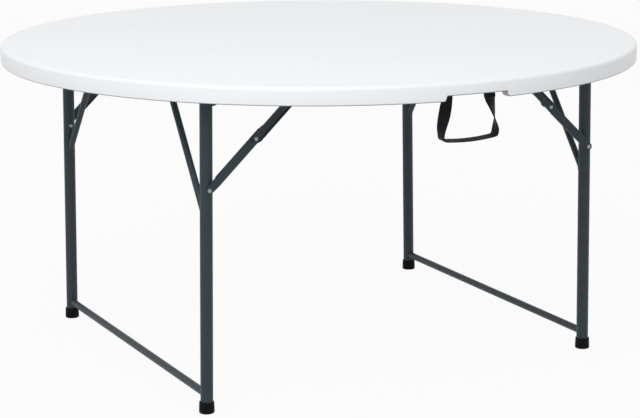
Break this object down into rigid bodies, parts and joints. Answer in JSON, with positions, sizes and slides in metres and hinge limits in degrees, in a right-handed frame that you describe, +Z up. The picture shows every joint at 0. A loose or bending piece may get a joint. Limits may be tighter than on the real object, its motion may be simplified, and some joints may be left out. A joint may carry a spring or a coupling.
{
  "type": "folding banquet table",
  "caption": "Round folding banquet table with a hollow moulded top, two inward-folding steel tube leg frames, jackknife braces and a carrying strap under the rim.",
  "frame": {"origin": "on the floor under the centre of the round top", "axes": "+Z up, +X from the left leg frame to the right one, -Y to the front, where the carrying strap hangs"},
  "size_m": [1.524, 1.524, 0.74],
  "materials": {
    "top_plastic": "satin",
    "frame_paint": "satin",
    "bright_steel": "satin",
    "foot_plastic": "matte",
    "webbing": "matte"
  },
  "bodies": {
    "top": {"tabletop": "top_plastic", "left_front_hinge_saddle": "frame_paint", "left_rear_hinge_saddle": "frame_paint", "left_front_anchor_bracket": "frame_paint", "left_rear_anchor_bracket": "frame_paint", "right_front_hinge_saddle": "frame_paint", "right_rear_hinge_saddle": "frame_paint", "right_front_anchor_bracket": "frame_paint", "right_rear_anchor_bracket": "frame_paint", "anchor_rivets": "bright_steel", "saddle_screws": "bright_steel", "anchor_screws": "bright_steel", "strap_loops": "bright_steel", "strap_screws": "bright_steel"},
    "left_frame": {"left_hinge_tube": "frame_paint", "left_foot_crossbar": "frame_paint", "left_leg_rivet_tails": "bright_steel", "left_front_leg": "frame_paint", "left_front_foot_cap": "foot_plastic", "left_front_diagonal_stay": "frame_paint", "left_rear_leg": "frame_paint", "left_rear_foot_cap": "foot_plastic", "left_rear_diagonal_stay": "frame_paint"},
    "left_front_upper_brace": {"left_front_upper_link": "frame_paint", "left_front_elbow_rivet": "bright_steel"},
    "left_front_lower_brace": {"left_front_lower_link": "frame_paint", "left_front_leg_rivet_head": "bright_steel"},
    "left_rear_upper_brace": {"left_rear_upper_link": "frame_paint", "left_rear_elbow_rivet": "bright_steel"},
    "left_rear_lower_brace": {"left_rear_lower_link": "frame_paint", "left_rear_leg_rivet_head": "bright_steel"},
    "right_frame": {"right_hinge_tube": "frame_paint", "right_foot_crossbar": "frame_paint", "right_leg_rivet_tails": "bright_steel", "right_front_leg": "frame_paint", "right_front_foot_cap": "foot_plastic", "right_front_diagonal_stay": "frame_paint", "right_rear_leg": "frame_paint", "right_rear_foot_cap": "foot_plastic", "right_rear_diagonal_stay": "frame_paint"},
    "right_front_upper_brace": {"right_front_upper_link": "frame_paint", "right_front_elbow_rivet": "bright_steel"},
    "right_front_lower_brace": {"right_front_lower_link": "frame_paint", "right_front_leg_rivet_head": "bright_steel"},
    "right_rear_upper_brace": {"right_rear_upper_link": "frame_paint", "right_rear_elbow_rivet": "bright_steel"},
    "right_rear_lower_brace": {"right_rear_lower_link": "frame_paint", "right_rear_leg_rivet_head": "bright_steel"},
    "strap": {"carrying_strap": "webbing"}
  },
  "joints": [
    {"name": "left_frame_fold", "type": "hinge", "parent": "top", "child": "left_frame", "pos_m": [-0.495, -0.025, 0.703], "axis": [0, -1, 0], "range_deg": [0, 90]},
    {"name": "left_front_brace_swing", "type": "hinge", "parent": "top", "child": "left_front_upper_brace", "pos_m": [-0.284, -0.464, 0.703], "axis": [0, -1, 0], "range_deg": [0, 133.74]},
    {"name": "left_front_elbow", "type": "hinge", "parent": "left_front_upper_brace", "child": "left_front_lower_brace", "pos_m": [-0.38808, -0.464, 0.60421], "axis": [0, 1, 0], "range_deg": [0, 178.81]},
    {"name": "left_rear_brace_swing", "type": "hinge", "parent": "top", "child": "left_rear_upper_brace", "pos_m": [-0.284, 0.414, 0.703], "axis": [0, -1, 0], "range_deg": [0, 133.74]},
    {"name": "left_rear_elbow", "type": "hinge", "parent": "left_rear_upper_brace", "child": "left_rear_lower_brace", "pos_m": [-0.38808, 0.414, 0.60421], "axis": [0, 1, 0], "range_deg": [0, 178.81]},
    {"name": "right_frame_fold", "type": "hinge", "parent": "top", "child": "right_frame", "pos_m": [0.495, 0.025, 0.703], "axis": [0, 1, 0], "range_deg": [0, 79]},
    {"name": "right_front_brace_swing", "type": "hinge", "parent": "top", "child": "right_front_upper_brace", "pos_m": [0.284, -0.414, 0.703], "axis": [0, 1, 0], "range_deg": [0, 122.14]},
    {"name": "right_front_elbow", "type": "hinge", "parent": "right_front_upper_brace", "child": "right_front_lower_brace", "pos_m": [0.38808, -0.414, 0.60421], "axis": [0, -1, 0], "range_deg": [0, 163.42]},
    {"name": "right_rear_brace_swing", "type": "hinge", "parent": "top", "child": "right_rear_upper_brace", "pos_m": [0.284, 0.464, 0.703], "axis": [0, 1, 0], "range_deg": [0, 122.14]},
    {"name": "right_rear_elbow", "type": "hinge", "parent": "right_rear_upper_brace", "child": "right_rear_lower_brace", "pos_m": [0.38808, 0.464, 0.60421], "axis": [0, -1, 0], "range_deg": [0, 163.42]},
    {"name": "strap_swing", "type": "hinge", "parent": "top", "child": "strap", "pos_m": [0, -0.717, 0.712], "axis": [1, 0, 0], "range_deg": [-20, 70]}
  ],
  "couplings": [
    {"joint": "left_front_brace_swing", "follows": "left_frame_fold", "ratio": 1.4855},
    {"joint": "left_front_elbow", "follows": "left_frame_fold", "ratio": 1.9862},
    {"joint": "left_rear_brace_swing", "follows": "left_frame_fold", "ratio": 1.4855},
    {"joint": "left_rear_elbow", "follows": "left_frame_fold", "ratio": 1.9862},
    {"joint": "right_front_brace_swing", "follows": "right_frame_fold", "ratio": 1.5455},
    {"joint": "right_front_elbow", "follows": "right_frame_fold", "ratio": 2.068},
    {"joint": "right_rear_brace_swing", "follows": "right_frame_fold", "ratio": 1.5455},
    {"joint": "right_rear_elbow", "follows": "right_frame_fold", "ratio": 2.068}
  ]
}
